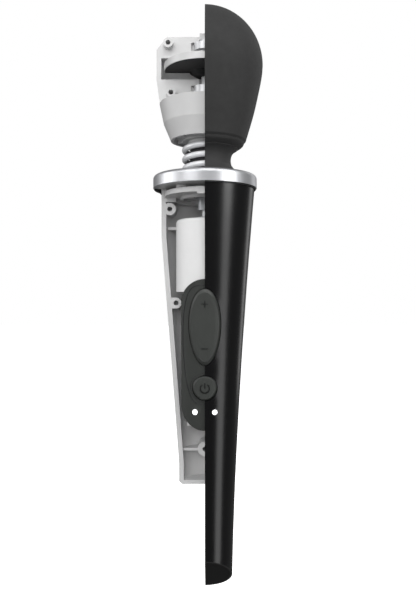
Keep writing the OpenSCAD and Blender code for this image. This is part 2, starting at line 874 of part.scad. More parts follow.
module battery_cell() {
    color("#B8BABD") translate([0, cell_y, cell_z]) union() {
        cylinder(r=cell_r, h=cell_len - 1);
        translate([0, 0, cell_len - 1.5]) cylinder(r=2.9, h=1.5);
    }
}

// Nickel strips welded across both ends of the cell
module battery_tabs() {
    color("#C9CACC") {
        translate([-2, cell_y - 7, cell_top_z]) cube([4, 10, 0.3]);
        translate([-2, cell_y - 7, cell_z - 0.3]) cube([4, 10, 0.3]);
    }
}

// Leads: routes chosen by hand, between the pieces that they join
motor_lead = [[0, -0.05, -0.3], [0, -1.2, -1.0], [-0.1, -3.4, -1.3], [-0.2, -6, -1.4],
    [-0.2, -8, -1.6], [-0.2, -8.9, -1.7]];

module motor_leads() {
    color("#B3262A") for (s = [-1, 1]) translate([s * 7, -0.4, motor_z - 3.1])
        mirror([s < 0 ? 1 : 0, 0, 0]) sweep(motor_lead, 0.6, 8);
}

// One lead from each end of the cell to the back of the board
cell_low_lead = [[0, 0, -0.95], [-0.3, -1.8, -1.3], [-0.8, -3.4, -1.3], [-1.2, -3.78, 0.3],
    [-1.5, -3.78, 2.4], [-1.6, -3.78, 4.2]];
cell_high_lead = [[0, 0, 0.95], [0.4, -1.4, 1.1], [0.8, -2.8, 0.9], [1, -3.8, 0.7], [1, -4.3, 0.6]];

module battery_leads() {
    color("#B3262A") {
        translate([-1, -5, cell_z]) sweep(cell_low_lead, 0.6, 8);
        translate([1, -5, cell_top_z]) sweep(cell_high_lead, 0.6, 8);
    }
}

// Stadium pad along the back of the handle, flush with the casing
module port_form(gap) {
    intersection() {
        mirror([0, 1, 0]) push_front(port_y, 2 * shoulder_r)
            translate([port_x, port_z]) stadium(port_half_w + gap, port_half_l + gap);
        casing_form(-gap, port_z - port_half_l - 1, port_z + port_half_l + 3);
    }
}

module charge_port() {
    color("#202022") difference() {
        port_form(0);
        for (z = contact_heights) along_y(port_x, z, contact_r, 0, 2 * shoulder_r);
    }
}

contact_heights = [port_z - contact_pitch / 2, port_z + contact_pitch / 2];

// Flush contacts that a magnetic charging lead touches
module charge_contacts() {
    color("#D9B45A") intersection() {
        union() for (z = contact_heights)
            along_y(port_x, z, contact_r, contact_y, 2 * shoulder_r);
        casing_form(0.1, port_z - port_half_l, port_z + port_half_l);
    }
}

// From a contact forward past the cell and up the back of the board, rising by a given height
board_reach = -board_back_y - contact_y;
function charge_route(rise) = [[0, 0, 0], [0.1, -1.6, 0.01 * rise], [0.2, -3.6, 0.05 * rise],
    [0.2, -6, 0.13 * rise], [0, -8.4, 0.22 * rise], [-0.8, board_reach + 5.2, 0.35 * rise],
    [-1.6, board_reach + 3.2, 0.51 * rise], [-2.2, board_reach + 1.6, 0.66 * rise],
    [-2.6, board_reach + 0.75, 0.81 * rise], [-2.8, board_reach + 0.62, 0.94 * rise],
    [-2.8, board_reach + 0.58, rise]];

module charge_leads() {
    color("#B3262A") for (z = contact_heights)
        translate([port_x - (z > port_z ? 0 : 1.6), contact_y, z])
            sweep(charge_route(board_z0 + 3.5 - z), 0.55, 8);
}

// ---- Head ----

// Cup that joins the frame to the spring, with a recessed ribbed underside
module head_cup() {
    rim_z = hub_z + 0.3;
    color("#BEBEBB") difference() {
        union() {
            difference() {
                revolve([[0, rim_z], [cup_foot_r - 0.9, rim_z], [cup_foot_r, rim_z + 2.3],
                    [cup_foot_r + 2.9, hub_z + 9.4], [cup_top_r, cup_top_z], [0, cup_top_z]]);
                revolve([[0, rim_z - 1], [cup_foot_r - 2.6, rim_z - 1], [cup_foot_r - 2, cup_floor_z],
                    [0, cup_floor_z]]);
                revolve([[0, cup_floor_z + cup_floor_t], [cup_foot_r - 1, cup_floor_z + cup_floor_t],
                    [cup_foot_r + 2.9 - cup_wall, hub_z + 9.4], [cup_top_r - cup_wall, cup_top_z + 0.01],
                    [0, cup_top_z + 0.01]]);
            }
            translate([0, 0, hub_z]) cylinder(r=spring_r - 0.4, h=cup_floor_z - hub_z + 0.5);
            translate([0, 0, hub_z - 2.4]) cylinder(r=spring_r - wire_d - 0.3, h=4);
            for (a = [0:60:300]) rotate([0, 0, a + 30]) translate([10, -0.7, rim_z + 0.6])
                cube([cup_foot_r - 11.4, 1.4, cup_floor_z - rim_z]);
        }
        translate([0, 0, hub_z - 3]) cylinder(r=7.2, h=20);
        for (p = cup_screw_spots) translate([p[0], p[1], hub_z - 1]) cylinder(r=thread_r + 0.2, h=12);
    }
}

cup_screw_spots = [for (a = [45:90:315]) [15.4 * cos(a), 15.4 * sin(a)]];

module cup_screws() {
    kept = [for (p = cup_screw_spots) if (!cutaway || p[1] > 0 || p[0] > 0) p];
    color("#B9BBBE") for (p = kept) translate([p[0], p[1], 0]) {
        translate([0, 0, cup_floor_z - 1.4]) cylinder(r=2.1, h=1.4);
        translate([0, 0, cup_floor_z]) cylinder(r=thread_r, h=cup_floor_t + 6);
    }
}

// The head frame is one turned block, parted at Y = 0
module frame_block() {
    lift = cup_floor_z + cup_floor_t + 0.3;
    revolve([[0, lift], [cup_foot_r - 1.1, lift], [cup_foot_r + 2.8 - cup_wall, hub_z + 9.4],
        [cup_top_r - cup_wall - 0.1, cup_top_z], [cup_top_r - 0.1, cup_top_z + 0.1],
        [frame_r, hub_z + 34.2], [frame_r, hub_z + 50.7], [frame_r - 5.2, frame_top_z - 0.6],
        [frame_r - 6, frame_top_z], [0, frame_top_z]]);
}

module frame_rooms() {
    translate([0, 0, weight_room_z]) cylinder(r=weight_room_r, h=weight_room_h);
    translate([0, 0, hub_z]) cylinder(r=5.6, h=hub_z + 9 - hub_z);
    translate([0, 0, hub_z + 8]) cylinder(r=head_shaft_r + 1.2, h=frame_top_z - hub_z - 9.5);
    for (z = [low_bearing_z, high_bearing_z]) {
        translate([0, 0, z]) cylinder(r=bearing_r + 0.03, h=bearing_h);
        translate([-bearing_r - 1.6, -2.4, z - 0.4]) cube([2 * bearing_r + 3.2, 4.8, bearing_h + 1.4]);
    }
    for (p = cup_screw_spots) translate([p[0], p[1], hub_z]) cylinder(r=thread_r, h=12.5);
}

frame_screw_spots = [
    [high_screw_x, high_screw_z], [low_screw_x, low_screw_z],
    [-high_screw_x, high_screw_z], [-low_screw_x, low_screw_z]
];
spigot_l = [4, 2, 4, 2];

module head_frame_rear() {
    color("#E4E4E1") difference() {
        union() {
            rear_half() difference() {
                union() {
                    frame_block();
                    translate([0, 0, frame_top_z - 1]) cylinder(r=3, h=3.1);
                }
                frame_rooms();
            }
            for (i = [0:3])
                along_y(frame_screw_spots[i][0], frame_screw_spots[i][1], frame_screw_r, -spigot_l[i], 3);
        }
        for (s = frame_screw_spots) along_y(s[0], s[1], screw_r, -5, screw_bite);
    }
}

frame_head_y = 6;
frame_head_r = 2.2;

module head_frame_front() {
    color("#E4E4E1") shown_side() front_half() difference() {
        frame_block();
        frame_rooms();
        for (s = frame_screw_spots) {
            along_y(s[0], s[1], screw_r + 0.2, -40, 1);
            along_y(s[0], s[1], frame_head_r + 0.3, -40, -frame_head_y);
            along_y(s[0], s[1], frame_screw_r + 0.1, -4.2, 1);
        }
    }
}

module head_frame_screws() {
    kept = [for (s = frame_screw_spots) if (!cutaway || s[0] > 0) s];
    color("#B9BBBE") for (s = kept)
        pan_screw(s[0], s[1], -frame_head_y, screw_bite - 0.5, frame_head_r, screw_head_h, screw_r);
}

// Shielded ball bearing with a groove between its races
module bearing(z) {
    groove_r = (bearing_r + head_shaft_r) / 2;
    translate([0, 0, z]) difference() {
        tube(bearing_r, head_shaft_r + 0.03, 0, bearing_h);
        for (lift = [-1, bearing_h - 0.3]) translate([0, 0, lift])
            tube(groove_r + 1, groove_r - 1, 0, 1.3);
    }
}

module upper_bearing() {
    color("#C3C5C8") bearing(high_bearing_z);
}

module lower_bearing() {
    color("#C3C5C8") bearing(low_bearing_z);
}

module head_shaft() {
    low_z = pivot_high_z + ball_r + 2.1;
    color("#C6C8CA") translate([0, 0, low_z]) cylinder(r=head_shaft_r, h=frame_top_z - 1.8 - low_z);
}

// Half disc on a round hub, its flat edge on the shaft's plane
module eccentric_weight() {
    color("#D0D0D0") difference() {
        union() {
            front_half() translate([0, 0, weight_z]) cylinder(r=weight_r, h=weight_t);
            translate([0, 0, weight_z]) cylinder(r=7, h=weight_t);
        }
        translate([0, 0, weight_z - 1]) cylinder(r=head_shaft_r, h=weight_t + 2);
    }
}

module weight_clips() {
    color("#9FA2A6") for (z = [weight_z - 0.8, weight_z + weight_t]) translate([0, 0, z]) difference() {
        tube(head_shaft_r + 1.8, head_shaft_r, 0, 0.8);
        translate([-0.8, head_shaft_r * 0.5, -1]) cube([1.6, 6, 3]);
    }
}

// Thick soft cover: a dome over a tapered skirt, closed in round the neck
cover_skirt = [[0.992, -4], [0.97, -8.5], [0.915, -17], [0.849, -26], [0.776, -34], [0.707, -41]];
cover_foot = [[0.69, -42.6], [0.65, -44.1], [0.58, -45.2]];

module head_cover() {
    dome = [for (a = [90:-7.5:0]) [head_r * cos(a), head_centre_z + head_r * sin(a)]];
    side = [for (p = concat(cover_skirt, cover_foot)) [head_r * p[0], head_centre_z + p[1]]];
    mouth_r = waist_r + 3.7;
    color("#3E3E3E") shown_side() difference() {
        revolve(concat(dome, side, [[mouth_r, neck_mid_z + 9.2], [0, neck_mid_z + 9.2]]));
        cover_room(mouth_r);
    }
}

// The space in the cover: the frame, the cup and the top of the sleeve
module cover_room(mouth_r) {
    slip = 0.1;
    revolve([[0, neck_mid_z], [mouth_r, neck_mid_z], [mouth_r, hub_z + 0.1],
        [cup_foot_r - 0.9 + slip, hub_z + 0.1],
        [cup_foot_r + slip, hub_z + 2.5], [cup_foot_r + 2.9 + slip, hub_z + 9.4],
        [cup_top_r + slip, cup_top_z], [frame_r + slip, hub_z + 34.2], [frame_r + slip, hub_z + 50.8],
        [frame_r - 5.2 + slip, frame_top_z - 0.5], [frame_r - 6, frame_top_z + 0.1],
        [3.2, frame_top_z + 0.1], [3.2, frame_top_z + 2.2], [0, frame_top_z + 2.2]]);
}

outer_casing();
end_cap();
casing_gasket();
collar_ring();
neck_retainer();
retainer_screws();
spring_seat();
seat_screws();
rear_chassis();
front_chassis();
chassis_screws();
motor_sleeve();
motor_can();
motor_end_bell();
motor_terminals();
motor_magnets();
motor_bush();
motor_leads();
motor_shaft();
motor_armature();
motor_coupling();
drive_shaft();
drive_boot();
neck_spring_lower();
neck_spring_upper();
neck_sleeve_lower();
neck_sleeve_upper();
keypad_bezel();
rocker_button();
power_button();
light_pipes();
control_board();
board_screws();
tact_switches();
board_parts();
battery_cell();
battery_tabs();
battery_leads();
charge_port();
charge_contacts();
charge_leads();
head_cup();
cup_screws();
head_frame_rear();
head_frame_front();
head_frame_screws();
upper_bearing();
lower_bearing();
head_shaft();
head_coupling();
eccentric_weight();
weight_clips();
head_cover();
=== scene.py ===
# %% [markdown]
# # A cordless wand massager, half finished and half open
#
# The right half wears its skins: a gloss black handle, a bright ring and a charcoal silicone
# head. The left half shows what is inside. The solid pieces come from the measured model, and
# this lesson gives them finishes. It also turns, bends and bevels the soft skins, the springs
# and the small marks, which need smoother shapes than the measured model has.

# %% Load the measured model
import math

import bmesh
import bpy
from mathutils import Matrix, Vector


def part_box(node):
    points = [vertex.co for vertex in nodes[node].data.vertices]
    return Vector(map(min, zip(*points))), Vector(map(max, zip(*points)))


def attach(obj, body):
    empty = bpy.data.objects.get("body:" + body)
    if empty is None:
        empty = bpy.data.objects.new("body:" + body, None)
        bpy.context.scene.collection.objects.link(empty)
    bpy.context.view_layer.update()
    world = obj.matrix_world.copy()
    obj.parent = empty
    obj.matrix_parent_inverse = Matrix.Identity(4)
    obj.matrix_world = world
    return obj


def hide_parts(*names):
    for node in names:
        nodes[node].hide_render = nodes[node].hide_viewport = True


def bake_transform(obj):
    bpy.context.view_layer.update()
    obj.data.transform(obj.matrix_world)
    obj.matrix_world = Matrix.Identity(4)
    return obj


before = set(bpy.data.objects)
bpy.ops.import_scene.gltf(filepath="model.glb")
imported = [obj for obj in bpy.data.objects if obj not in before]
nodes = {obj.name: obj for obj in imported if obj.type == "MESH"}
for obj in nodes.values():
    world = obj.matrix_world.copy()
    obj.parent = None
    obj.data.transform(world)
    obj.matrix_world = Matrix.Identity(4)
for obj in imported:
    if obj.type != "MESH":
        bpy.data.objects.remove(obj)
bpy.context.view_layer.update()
MM = 0.001
ROUND = 96

# %% [markdown]
# ## Where things are
#
# The handle's axis is the Z axis and the buttons face -Y. Heights and radii are read from the
# measured pieces, so a finish or a skin always lands on the piece that it belongs to.

# %% Read the sizes that the new pieces share
def low(node, axis=2):
    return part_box(node)[0][axis] / MM


def high(node, axis=2):
    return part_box(node)[1][axis] / MM


ring_top = high("collar_ring")
ring_bottom = low("collar_ring")
shoulder_z = high("outer_casing")
shoulder_r = high("outer_casing", 0)
tip_z = low("outer_casing")
tip_r = 14.9
TAPER = 1.55
neck_mid = high("neck_sleeve_lower")
hub_z = high("neck_spring_upper") + 0.1
pivot_low = neck_mid - 6
frame_top = high("head_frame_front")
head_r = high("head_cover", 0)
head_centre = high("head_cover") - head_r
print("ring", ring_bottom, ring_top, "neck", neck_mid, "hub", hub_z, "head radius", head_r)


def casing_r(z):
    """Outer radius of the tapered handle at a height, all in millimetres."""
    along = max(0.0, z - tip_z) / (shoulder_z - tip_z)
    return tip_r + (shoulder_r - tip_r) * along ** TAPER


print("handle radius at the buttons", round(casing_r(33.3), 2))

# %% [markdown]
# ## Camera
#
# The viewpoint is straight in front of the buttons and close, 358 mm from the axis, so the head
# is seen a little from below and the tip a little from above. A vertical sensor fit keeps the
# framing tied to the height of the picture.

# %% Place the camera
camera_data = bpy.data.cameras.new("camera")
camera_data.sensor_fit = "VERTICAL"
camera_data.sensor_height = 24
camera_data.lens = 26.4407
camera_data.clip_start = 0.01
camera = bpy.data.objects.new("camera", camera_data)
bpy.context.scene.collection.objects.link(camera)
camera.location = (1.65 * MM, -358 * MM, 50 * MM)
camera.rotation_euler = (math.radians(90), 0, 0)
bpy.context.scene.camera = camera
print("lens", round(camera_data.lens, 2), "mm on a sensor", camera_data.sensor_height, "mm high")

# %% [markdown]
# ## Colours and nodes
#
# Colours are written as the hex values that a paint program shows and turned into linear light
# by one function. One more function adds a shader node, sets its values and joins its inputs,
# which keeps each finish down to a few lines.

# %% Colour and node helpers
def linear(hex_colour):
    """sRGB hex to linear RGBA."""
    parts = [int(hex_colour[i:i + 2], 16) / 255 for i in (1, 3, 5)]
    light = [c / 12.92 if c <= 0.04045 else ((c + 0.055) / 1.055) ** 2.4 for c in parts]
    return tuple(light) + (1.0,)


def add(tree, kind, inputs=None, **settings):
    """A node with its settings; inputs maps a socket to a value or to another node's socket."""
    node = tree.nodes.new(kind)
    for key, value in settings.items():
        setattr(node, key, value)
    for key, value in (inputs or {}).items():
        if isinstance(value, bpy.types.NodeSocket):
            tree.links.new(value, node.inputs[key])
        else:
            node.inputs[key].default_value = value
    return node


def per_mm(size_mm):
    """Noise scale that makes features of about this size, for coordinates in metres."""
    return 1 / (size_mm * MM)


def finish(name, colour, roughness, metallic=0.0, grain=None, grain_depth=0.0, mottle=0.0,
           stretch=(1, 1, 1), roughness_swing=0.0, **sockets):
    """A finish: base colour with faint mottling, roughness that wanders, and a fine grain."""
    material = bpy.data.materials.new(name)
    material.use_nodes = True
    tree = material.node_tree
    tree.nodes.clear()
    place = add(tree, "ShaderNodeTexCoord")
    stretched = add(tree, "ShaderNodeMapping", {"Vector": place.outputs["Object"],
                                                "Scale": stretch})
    inputs = {"Roughness": roughness, "Metallic": metallic, "Base Color": linear(colour)}
    inputs.update(sockets)
    if mottle:
        broad = add(tree, "ShaderNodeTexNoise", {"Vector": place.outputs["Object"],
                                                 "Scale": per_mm(9), "Detail": 3.0})
        base = Vector(linear(colour)[:3])
        ramp = add(tree, "ShaderNodeValToRGB", {"Fac": broad.outputs["Fac"]})
        ramp.color_ramp.elements[0].position = 0.3
        ramp.color_ramp.elements[1].position = 0.7
        ramp.color_ramp.elements[0].color = tuple(base * (1 - mottle)) + (1.0,)
        ramp.color_ramp.elements[1].color = tuple(base * (1 + mottle)) + (1.0,)
        inputs["Base Color"] = ramp.outputs["Color"]
    if roughness_swing:
        wander = add(tree, "ShaderNodeTexNoise", {"Vector": stretched.outputs["Vector"],
                                                  "Scale": per_mm(4), "Detail": 4.0})
        spread = add(tree, "ShaderNodeMapRange", {
            "Value": wander.outputs["Fac"], "From Min": 0.3, "From Max": 0.7,
            "To Min": max(0.02, roughness - roughness_swing),
            "To Max": roughness + roughness_swing})
        inputs["Roughness"] = spread.outputs["Result"]
    if grain:
        fine = add(tree, "ShaderNodeTexNoise", {"Vector": stretched.outputs["Vector"],
                                                "Scale": per_mm(grain), "Detail": 2.0})
        bump = add(tree, "ShaderNodeBump", {"Height": fine.outputs["Fac"], "Strength": 1.0,
                                            "Distance": grain_depth * MM})
        inputs["Normal"] = bump.outputs["Normal"]
    shader = add(tree, "ShaderNodeBsdfPrincipled", inputs)
    add(tree, "ShaderNodeOutputMaterial", {"Surface": shader.outputs["BSDF"]})
    return material


print("black in linear light", [round(c, 4) for c in linear("#151516")])

# %% [markdown]
# ## Plastics
#
# The handle is ABS from a polished mould: near black, with a soft-edged reflection and a trace
# of orange peel. The chassis and frames are ABS from a plain mould, pale grey and dull. The
# keypad mould is spark-eroded, which leaves a grain of about 0.3 mm that scatters light.

# %% Plastic finishes
gloss_abs = finish("polished_black_abs", "#060607", 0.25, grain=7, grain_depth=0.002,
                   roughness_swing=0.01, IOR=1.5)
end_abs = finish("textured_black_abs", "#050505", 0.5, grain=0.6, grain_depth=0.004, IOR=1.5,
                 **{"Specular IOR Level": 0.25})
chassis_abs = finish("moulded_grey_abs", "#BEBEBE", 0.48, grain=0.5, grain_depth=0.012,
                     mottle=0.03, roughness_swing=0.05, IOR=1.5)
frame_abs = finish("moulded_white_abs", "#CBCBCB", 0.45, grain=0.5, grain_depth=0.012,
                   mottle=0.02, roughness_swing=0.05, IOR=1.5)
keypad_abs = finish("spark_eroded_keypad", "#2A2C2A", 0.55, grain=0.3, grain_depth=0.03,
                    mottle=0.04, IOR=1.5)
button_abs = finish("spark_eroded_button", "#303230", 0.5, grain=0.3, grain_depth=0.025,
                    mottle=0.04, IOR=1.5)
icon_ink = finish("icon_ink", "#101110", 0.35, grain=0.3, grain_depth=0.01)
black_moulding = finish("black_moulding", "#1B1B1D", 0.4, grain=0.4, grain_depth=0.01)
cell_film = finish("shrink_film_grey", "#B2B4B7", 0.35, grain=3, grain_depth=0.02, mottle=0.03)
board_resist = finish("solder_resist_green", "#1F5A3C", 0.35, grain=1.2, grain_depth=0.01,
                      mottle=0.08)
# The lens has an emission of 0.9. It is a painted glow that makes the light pipes read bright
# white.
lens = finish("white_lens_painted_glow", "#F4F5F7", 0.25, grain=0.8, grain_depth=0.005,
              **{"Emission Color": linear("#FFFFFF"), "Emission Strength": 0.9})
print("plastics", len(bpy.data.materials))

# %% [markdown]
# ## Rubbers
#
# Silicone has no shine of its own. It shows a broad dull highlight, a slight powdery sheen at
# grazing angles and a skin as fine as peach fuzz. The motor's sleeve is a whiter, firmer rubber,
# the boot is grey and the gasket is plain black.

# %% Rubber finishes
silicone = finish("charcoal_silicone", "#292929", 0.75, grain=0.35, grain_depth=0.012,
                  mottle=0.035, roughness_swing=0.05, IOR=1.41,
                  **{"Sheen Weight": 0.06, "Sheen Roughness": 0.5})
sleeve_rubber = finish("white_damping_rubber", "#D2D2D2", 0.55, grain=0.6, grain_depth=0.01,
                       mottle=0.02)
# Plain black rubber for the gasket. The same black is used on the pad and hub under the weight,
# where it is painted shade.
black_rubber_and_painted_shade = finish("black_rubber_and_painted_shade", "#121213", 0.6, grain=0.4, grain_depth=0.015, mottle=0.05)
boot_rubber = finish("grey_boot_rubber", "#4C4C4D", 0.55, grain=0.4, grain_depth=0.012,
                     mottle=0.04)
lead_cover = finish("red_lead_insulation", "#A8282C", 0.4, grain=1.0, grain_depth=0.01)
print("silicone colour", silicone.name)

# %% [markdown]
# ## Metals
#
# The ring is turned and bead-blasted aluminium, so its faint scratches run round it: a noise
# squeezed along Z gives long thin lines at right angles to the axis. The spring wire, the
# bearings and the weight have a dull satin plating, which scatters light almost like pale paint,
# so they are only partly metallic. The screws are zinc plated and a little brighter.

# %% Metal finishes
AROUND = (0.12, 0.12, 6)
turned_aluminium = finish("turned_aluminium", "#D2D3D6", 0.4, 0.9, grain=1.2,
                          grain_depth=0.0015, stretch=AROUND, roughness_swing=0.03)
spring_wire = finish("satin_plated_wire", "#DADBDD", 0.38, 0.3, grain=0.8, grain_depth=0.005,
                     roughness_swing=0.05)
zinc = finish("zinc_plated_steel", "#B9BCC2", 0.32, 1.0, grain=0.5, grain_depth=0.006,
              roughness_swing=0.08)
ground_steel = finish("satin_ground_steel", "#C9CACC", 0.34, 0.4, grain=0.6, grain_depth=0.003,
                      stretch=AROUND, roughness_swing=0.04)
drive_steel = finish("machined_drive_steel", "#A9ABAE", 0.4, 0.5, grain=0.5, grain_depth=0.006,
                     stretch=AROUND, roughness_swing=0.06)
weight_metal = finish("sintered_weight", "#C2C2C2", 0.45, 0.3, grain=0.5, grain_depth=0.012,
                      mottle=0.03, roughness_swing=0.06)
can_steel = finish("drawn_steel_can", "#AEB0B3", 0.3, 1.0, grain=0.8, grain_depth=0.006,
                   roughness_swing=0.08)
copper = finish("copper_winding", "#9A5A34", 0.35, 1.0, grain=0.4, grain_depth=0.03, mottle=0.1)
bush_metal = finish("sintered_iron_bush", "#A6A8AB", 0.42, 0.6, grain=0.3, grain_depth=0.02,
                    mottle=0.06)
gold = finish("gold_plate", "#D9B45A", 0.25, 1.0, grain=0.5, grain_depth=0.003)
ferrite = finish("ferrite_magnet", "#3A3A3D", 0.5, 0.4, grain=0.4, grain_depth=0.02, mottle=0.08)
nickel = finish("nickel_strip", "#C9CACC", 0.3, 1.0, grain=0.4, grain_depth=0.004,
                roughness_swing=0.06)
print("materials", len(bpy.data.materials))

# %% [markdown]
# ## Dress the measured pieces
#
# A piece whose measured shape is right keeps it and only takes a finish. The lists below say
# which finish goes on which piece.

# %% Assign finishes
DRESS = {
    gloss_abs: ["outer_casing"],
    end_abs: ["end_cap"],
    chassis_abs: ["rear_chassis", "front_chassis", "spring_seat", "head_cup"],
    frame_abs: ["head_frame_rear", "head_frame_front", "neck_retainer"],
    sleeve_rubber: ["motor_sleeve"],
    black_rubber_and_painted_shade: ["casing_gasket"],
    turned_aluminium: ["collar_ring"],
    keypad_abs: ["keypad_bezel"],
    button_abs: ["rocker_button", "power_button"],
    lens: ["light_pipes"],
    zinc: ["retainer_screws", "seat_screws", "chassis_screws", "board_screws", "cup_screws",
           "head_frame_screws", "weight_clips"],
    ground_steel: ["motor_shaft", "head_shaft", "upper_bearing", "lower_bearing"],
    drive_steel: ["motor_coupling", "head_coupling", "drive_shaft"],
    weight_metal: ["eccentric_weight"],
    can_steel: ["motor_can"],
    copper: ["motor_armature"],
    bush_metal: ["motor_bush"],
    gold: ["motor_terminals", "charge_contacts"],
    ferrite: ["motor_magnets"],
    black_moulding: ["motor_end_bell", "tact_switches", "board_parts", "charge_port"],
    board_resist: ["control_board"],
    cell_film: ["battery_cell"],
    nickel: ["battery_tabs"],
    lead_cover: ["motor_leads", "battery_leads", "charge_leads"],
    spring_wire: ["neck_spring_lower", "neck_spring_upper"],
    silicone: ["neck_sleeve_lower", "neck_sleeve_upper", "head_cover"],
}
for material, names in DRESS.items():
    for name in names:
        nodes[name].data.materials.clear()
        nodes[name].data.materials.append(material)
bare = sorted(set(nodes) - {name for names in DRESS.values() for name in names} - {"drive_boot"})
print("pieces without a finish:", bare)

# %% [markdown]
# ## Turning
#
# Most of the soft pieces are round. A section is drawn once, as radius and height, and spun
# about the axis. For the cut-away half the spin stops after half a turn, and the section itself
# closes both ends, so the cut face shows the true thickness.

# %% Turned pieces
def keep(name, bm, material, crease=38):
    """Turns a bmesh into a shaded piece, with edges over crease degrees left sharp."""
    bmesh.ops.recalc_face_normals(bm, faces=bm.faces)
    mesh = bpy.data.meshes.new(name)
    bm.to_mesh(mesh)
    bm.free()
    piece = bpy.data.objects.new(name, mesh)
    bpy.context.scene.collection.objects.link(piece)
    mesh.materials.append(material)
    mesh.shade_smooth()
    mesh.set_sharp_from_angle(angle=math.radians(crease))
    return piece


def flowing(points, steps):
    """A smooth run through the points, with a few steps between each pair."""
    path = []
    for i in range(len(points) - 1):
        before = Vector(points[max(i - 1, 0)])
        here, there = Vector(points[i]), Vector(points[i + 1])
        after = Vector(points[min(i + 2, len(points) - 1)])
        for k in range(steps):
            t = k / steps
            path.append(0.5 * (2 * here + (there - before) * t
                               + (2 * before - 5 * here + 4 * there - after) * t * t
                               + (3 * here - before - 3 * there + after) * t ** 3))
    return path + [Vector(points[-1])]


def turned(name, section, material, half=True, crease=38):
    """A closed section of (radius, height) in millimetres, spun round the Z axis."""
    bm = bmesh.new()
    ring = [bm.verts.new((0, -r * MM, z * MM)) for r, z in section]
    edges = [bm.edges.new((ring[i], ring[(i + 1) % len(ring)])) for i in range(len(ring))]
    if half:
        cap = bm.faces.new(ring)
        other = bmesh.ops.duplicate(bm, geom=[cap])["geom"]
        bmesh.ops.rotate(bm, verts=[v for v in other if isinstance(v, bmesh.types.BMVert)],
                         matrix=Matrix.Rotation(math.pi, 3, "Z"))
    turn = math.pi if half else 2 * math.pi
    bmesh.ops.spin(bm, geom=ring + edges, axis=(0, 0, 1), cent=(0, 0, 0), angle=turn,
                   steps=ROUND, use_merge=not half)
    bmesh.ops.remove_doubles(bm, verts=bm.verts, dist=0.004 * MM)
    return keep(name, bm, material, crease)


print("steps in a turn", ROUND)

# %% [markdown]
# ## Head cover
#
# The cover is cast silicone, about 4 mm thick, over the hard frame. Its crown is a true
# hemisphere. The side runs inwards in a long curve to an edge just above the neck, and the
# underside turns in below it to meet the neck sleeve.
# The inside follows the frame and the cup, so a section through it shows a real wall.

# %% Head cover
CROWN_STEPS = 30
crown = [(head_r * math.sin(math.radians(a)), head_centre + head_r * math.cos(math.radians(a)))
         for a in [90 * i / CROWN_STEPS for i in range(CROWN_STEPS + 1)]]
skirt = flowing([(31.45, head_centre - 4), (30.75, head_centre - 8.5), (29.0, head_centre - 17),
                 (26.9, head_centre - 26), (24.6, head_centre - 34), (22.5, head_centre - 41)], 4)
mouth_r = high("neck_sleeve_upper", 0) + 0.1
mouth_z = low("head_cover")
lip = flowing([(21.6, head_centre - 42.0), (21.0, head_centre - 43.4),
               (19.6, head_centre - 44.5), (mouth_r + 0.05, mouth_z)], 4)[:-1]
frame_r = high("head_frame_front", 0) + 0.1
cup_r = high("head_cup", 0) + 0.1
inside = [(mouth_r, mouth_z), (mouth_r, hub_z + 0.1), (19.0, hub_z + 0.1), (19.9, hub_z + 2.5),
          (22.8, hub_z + 9.4), (cup_r, hub_z + 20.3), (frame_r, hub_z + 34.2),
          (frame_r, hub_z + 50.8), (frame_r - 5.2, frame_top - 0.4), (20.6, frame_top + 0.1),
          (3.2, frame_top + 0.1), (3.2, frame_top + 2.2), (0, frame_top + 2.2)]
head_cover = turned("head_cover_skin", crown + [tuple(p) for p in skirt + lip] + inside,
                    silicone, crease=18)
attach(head_cover, "head")
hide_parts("head_cover")
print("head cover", len(head_cover.data.polygons), "faces")

# %% [markdown]
# ## Neck sleeve
#
# A thin silicone tube runs from under the ring, narrows to a waist and flares out into the
# cover. The neck has two hinges, one above the other, and a skin can bend across only one of
# them, so the sleeve is made in two pieces that meet halfway up, where neither hinge moves it.

# %% Neck sleeve, two pieces
outer_low = flowing([(18.8, ring_top), (17.3, ring_top + 2.1), (16.05, ring_top + 3.8),
                     (15.1, ring_top + 5.0), (14.55, neck_mid)], 5)
outer_high = flowing([(14.55, neck_mid), (14.25, neck_mid + 1.6), (14.2, neck_mid + 3.4),
                      (14.7, neck_mid + 5.6), (15.9, neck_mid + 7.4), (17.9, neck_mid + 8.8)], 5)
WALL = 1.2
low_section = ([(18.8, low("neck_sleeve_lower") + 2.4)] + [tuple(p) for p in outer_low]
               + [(14.55 - WALL, neck_mid), (14.7, ring_top + 2.4), (15.4, ring_top - 1),
                  (15.4, low("neck_sleeve_lower")), (25.7, low("neck_sleeve_lower")),
                  (25.7, low("neck_sleeve_lower") + 2.4)])
high_section = ([tuple(p) for p in outer_high]
                + [(17.95, neck_mid + 9.2), (17.95, hub_z - 0.1), (14.9, hub_z - 0.1),
                   (13.0, neck_mid + 5.2), (13.05, neck_mid + 2), (14.55 - WALL, neck_mid)])
sleeve_low = turned("neck_sleeve_low_skin", low_section, silicone)
sleeve_high = turned("neck_sleeve_high_skin", high_section, silicone)
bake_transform(sleeve_low)
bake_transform(sleeve_high)
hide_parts("neck_sleeve_lower")
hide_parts("neck_sleeve_upper")
print("sleeve pieces meet at", neck_mid, "mm")

# %% [markdown]
# ## Boot inside the spring
#
# A folded rubber boot keeps dirt off the drive shaft and fills the inside of the spring. Its
# section is a wave, spun all the way round. It crosses both hinges, so like the sleeve it is made
# in two pieces that meet halfway up.

# %% Bellows boot, two pieces
BOOT_R, FOLD, BOOT_WALL = 8.45, 2.4, 0.9


def bellows(name, z0, z1):
    """A folded tube between two heights, in millimetres."""
    count = max(1, round((z1 - z0) / FOLD)) * 8
    outer = [(BOOT_R - 0.45 * math.cos(math.pi * i / 4), z0 + (z1 - z0) * i / count)
             for i in range(count + 1)]
    return turned(name, outer + [(BOOT_R - BOOT_WALL - 0.5, z1), (BOOT_R - BOOT_WALL - 0.5, z0)],
                  boot_rubber, half=False)


